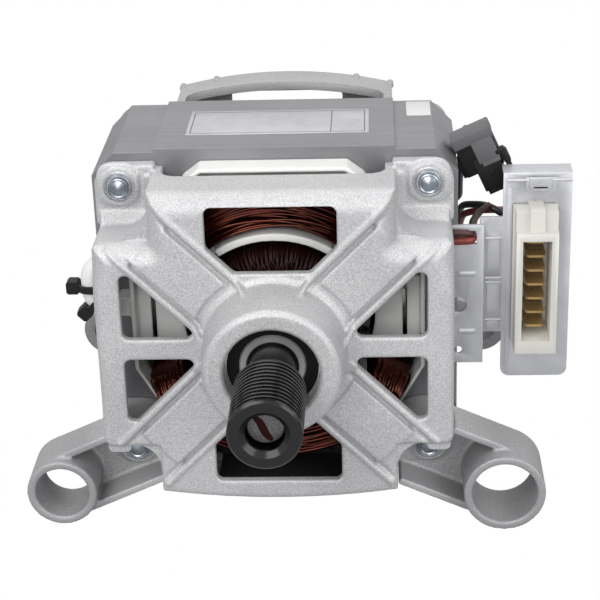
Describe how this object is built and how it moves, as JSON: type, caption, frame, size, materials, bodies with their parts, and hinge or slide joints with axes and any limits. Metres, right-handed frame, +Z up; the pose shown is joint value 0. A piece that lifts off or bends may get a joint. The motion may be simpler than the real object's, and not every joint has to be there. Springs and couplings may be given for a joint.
{
  "type": "washing machine motor",
  "caption": "Universal motor for a front-loading washing machine: cast end brackets with mounting legs, laminated stator, wound rotor on ball bearings, ribbed belt pulley and side plug",
  "frame": {"origin": "On the shaft axis, in the middle of the pulley's length", "axes": "+Y along the shaft from the pulley to the rear, +X to the right as the pulley is faced, +Z up, away from the mounting legs"},
  "size_m": [0.1848, 0.2049, 0.1346],
  "materials": {
    "front_bracket": "shot-blasted die casting",
    "rear_bracket": "shot-blasted die casting",
    "stator_core": "bare electrical steel laminations",
    "front_insulator": "ivory moulded plastic",
    "rear_insulator": "ivory moulded plastic",
    "field_coil_top_core": "enamelled copper, inner layers",
    "field_coil_bottom_core": "enamelled copper, inner layers",
    "field_coil_top_wire": "enamelled copper, outer layer",
    "field_coil_bottom_wire": "enamelled copper, outer layer",
    "through_bolts": "zinc-plated steel",
    "bolt_washers": "zinc-plated steel",
    "bolt_nuts": "zinc-plated steel",
    "shaft": "ground steel",
    "pulley": "black-finished steel",
    "rotor_core": "electrical steel laminations",
    "rotor_winding_front": "varnished copper winding",
    "rotor_winding_rear": "varnished copper winding",
    "commutator_hub": "moulded phenolic",
    "commutator_bars": "turned copper",
    "bearing_snap_ring": "spring steel",
    "wave_washer": "spring steel",
    "brush_holder_left": "black moulded plastic",
    "brush_holder_right": "black moulded plastic",
    "brush_left": "pressed carbon",
    "brush_right": "pressed carbon",
    "brush_spring_left": "spring steel",
    "brush_spring_right": "spring steel",
    "brush_holder_screws": "zinc-plated steel",
    "tacho_magnet": "ring magnet",
    "tacho_coil": "wound pickup coil",
    "tacho_cover": "black moulded plastic",
    "tacho_screws": "zinc-plated steel",
    "terminal_bracket": "galvanised sheet steel",
    "terminal_bracket_screws": "zinc-plated steel",
    "terminal_housing": "ivory moulded plastic",
    "terminals": "brass blades",
    "harness_connector": "black moulded plastic",
    "harness_latch": "black moulded plastic",
    "lead_red": "insulated lead",
    "lead_black": "insulated lead",
    "lead_clip": "insulated lead",
    "lead_sleeve": "woven glass sleeve",
    "cable_ties": "black nylon",
    "front_bearing_outer_ring": "ground bearing steel",
    "front_bearing_inner_ring": "ground bearing steel",
    "front_bearing_balls": "polished bearing steel",
    "front_bearing_cage": "moulded nylon cage",
    "front_bearing_seals": "moulded rubber seal",
    "rear_bearing_outer_ring": "ground bearing steel",
    "rear_bearing_inner_ring": "ground bearing steel",
    "rear_bearing_balls": "polished bearing steel",
    "rear_bearing_cage": "moulded nylon cage",
    "rear_bearing_seals": "moulded rubber seal"
  },
  "bodies": {
    "motor": {"front_bracket": "front_bracket", "rear_bracket": "rear_bracket", "stator_core": "stator_core", "front_insulator": "front_insulator", "rear_insulator": "rear_insulator", "field_coil_top_core": "field_coil_top_core", "field_coil_bottom_core": "field_coil_bottom_core", "field_coil_top_wire": "field_coil_top_wire", "field_coil_bottom_wire": "field_coil_bottom_wire", "through_bolts": "through_bolts", "bolt_washers": "bolt_washers", "bolt_nuts": "bolt_nuts", "bearing_snap_ring": "bearing_snap_ring", "wave_washer": "wave_washer", "brush_holder_left": "brush_holder_left", "brush_holder_right": "brush_holder_right", "brush_spring_left": "brush_spring_left", "brush_spring_right": "brush_spring_right", "brush_holder_screws": "brush_holder_screws", "tacho_coil": "tacho_coil", "tacho_cover": "tacho_cover", "tacho_screws": "tacho_screws", "terminal_bracket": "terminal_bracket", "terminal_bracket_screws": "terminal_bracket_screws", "terminal_housing": "terminal_housing", "terminals": "terminals", "harness_connector": "harness_connector", "harness_latch": "harness_latch", "lead_red": "lead_red", "lead_black": "lead_black", "lead_clip": "lead_clip", "lead_sleeve": "lead_sleeve", "cable_ties": "cable_ties", "front_bearing_outer_ring": "front_bearing_outer_ring", "front_bearing_seals": "front_bearing_seals", "rear_bearing_outer_ring": "rear_bearing_outer_ring", "rear_bearing_seals": "rear_bearing_seals"},
    "rotor": {"shaft": "shaft", "pulley": "pulley", "front_bearing_inner_ring": "front_bearing_inner_ring", "rear_bearing_inner_ring": "rear_bearing_inner_ring", "rotor_core": "rotor_core", "rotor_winding_front": "rotor_winding_front", "rotor_winding_rear": "rotor_winding_rear", "commutator_hub": "commutator_hub", "commutator_bars": "commutator_bars", "tacho_magnet": "tacho_magnet"},
    "front_cage": {"front_bearing_balls": "front_bearing_balls", "front_bearing_cage": "front_bearing_cage"},
    "rear_cage": {"rear_bearing_balls": "rear_bearing_balls", "rear_bearing_cage": "rear_bearing_cage"},
    "brush_left": {"brush_left": "brush_left"},
    "brush_right": {"brush_right": "brush_right"}
  },
  "joints": [
    {"name": "rotor_spin", "type": "hinge", "parent": "motor", "child": "rotor", "pos_m": [0, 0, 0], "axis": [0, 1, 0], "continuous": true},
    {"name": "front_cage_spin", "type": "hinge", "parent": "motor", "child": "front_cage", "pos_m": [0, 0.03725, 0], "axis": [0, 1, 0], "continuous": true},
    {"name": "rear_cage_spin", "type": "hinge", "parent": "motor", "child": "rear_cage", "pos_m": [0, 0.16985, 0], "axis": [0, 1, 0], "continuous": true},
    {"name": "brush_left_wear", "type": "slide", "parent": "motor", "child": "brush_left", "axis": [-1, 0, 0], "range_m": [0, 0.003], "stiffness_N_per_m": 250, "springref_m": -0.01, "deforming": ["brush_spring_left"]},
    {"name": "brush_right_wear", "type": "slide", "parent": "motor", "child": "brush_right", "axis": [1, 0, 0], "range_m": [0, 0.003], "stiffness_N_per_m": 250, "springref_m": -0.01, "deforming": ["brush_spring_right"]}
  ],
  "couplings": [
    {"joint": "front_cage_spin", "follows": "rotor_spin", "ratio": 0.382},
    {"joint": "rear_cage_spin", "follows": "rotor_spin", "ratio": 0.366}
  ]
}
